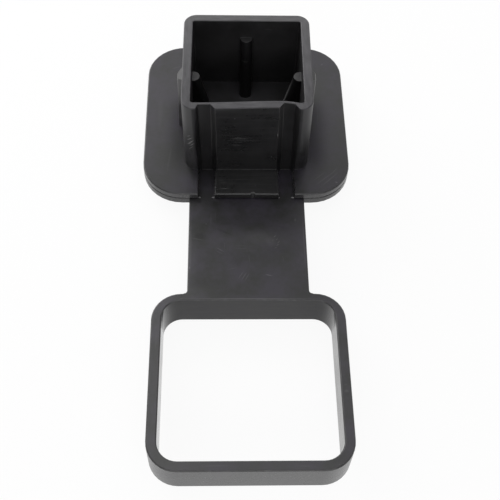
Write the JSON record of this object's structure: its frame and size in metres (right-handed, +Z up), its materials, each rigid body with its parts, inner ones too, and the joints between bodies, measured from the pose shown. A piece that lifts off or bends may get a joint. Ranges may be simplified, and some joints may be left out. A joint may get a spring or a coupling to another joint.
{
  "type": "hitch receiver cover",
  "caption": "Black rubber cover for a square hitch receiver: a face plate with a hollow plug stem, and a flat strap that ends in a rounded-square tether ring.",
  "frame": {"origin": "middle of the square stem, on the plate's outer face", "axes": "+Z up the stem, away from the plate's outer face; -Y along the strap to the ring; +X to the right, with the stem up and the ring towards the viewer"},
  "size_m": [0.0838, 0.1934, 0.0548],
  "materials": {
    "black_rubber": "dull moulded rubber with a faint sheen, near-black"
  },
  "bodies": {
    "root": {"hitch_receiver_cover": "black_rubber"}
  },
  "joints": []
}
